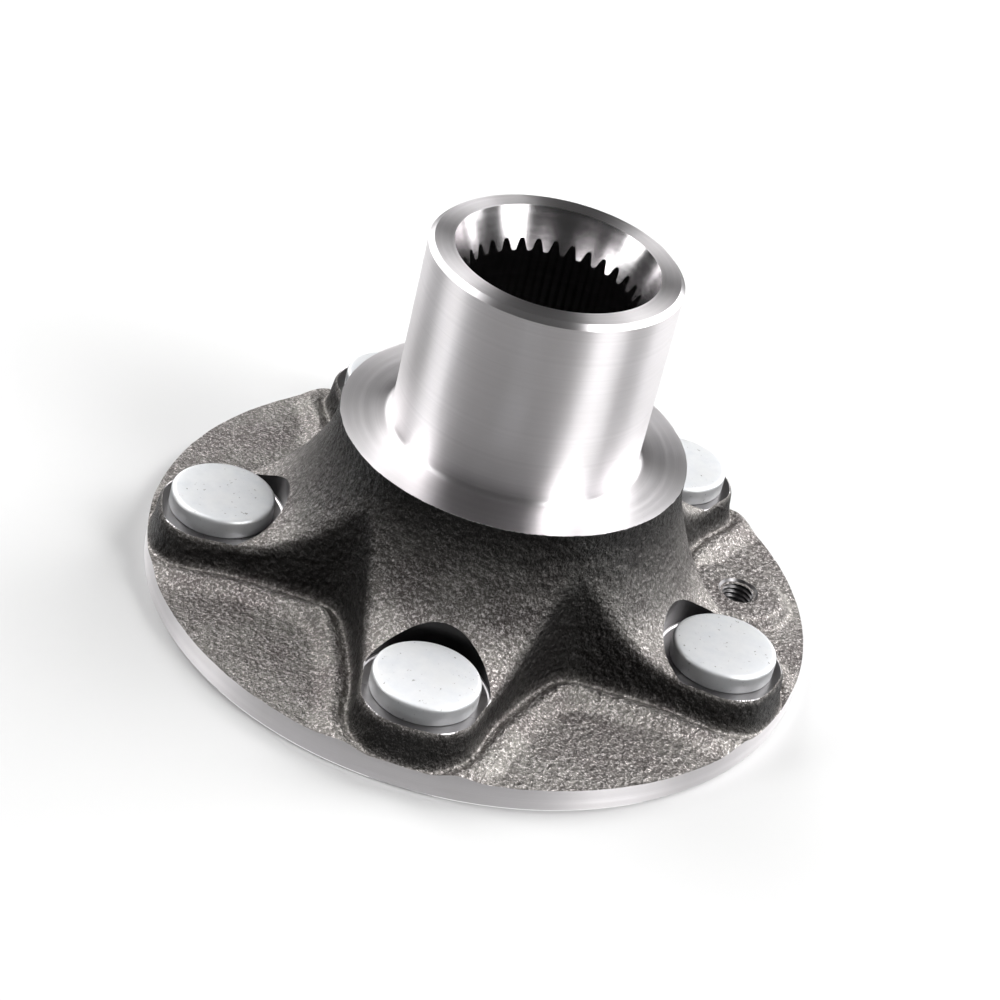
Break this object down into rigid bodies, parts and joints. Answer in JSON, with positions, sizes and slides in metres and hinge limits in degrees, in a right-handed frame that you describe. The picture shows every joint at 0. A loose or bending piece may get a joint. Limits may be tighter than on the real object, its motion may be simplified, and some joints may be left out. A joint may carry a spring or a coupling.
{
  "type": "wheel hub",
  "caption": "Driven wheel hub: forged flange with ribs and pressed-in wheel studs, ground bearing seat and splined bore for the drive shaft.",
  "frame": {"origin": "centre of the bolt circle, in the face that the wheel and brake disc bear on", "axes": "+Z along the hub's axis, inboard towards the bearing seat; -Y through the first wheel stud"},
  "size_m": [0.15, 0.15, 0.1293],
  "materials": {
    "hub_steel": "shot-blasted forging, with a turned rim and a ground bearing seat",
    "stud_zinc": "bright zinc plate"
  },
  "bodies": {
    "root": {"hub": "hub_steel", "wheel_stud_1": "stud_zinc", "wheel_stud_2": "stud_zinc", "wheel_stud_3": "stud_zinc", "wheel_stud_4": "stud_zinc", "wheel_stud_5": "stud_zinc"}
  },
  "joints": []
}
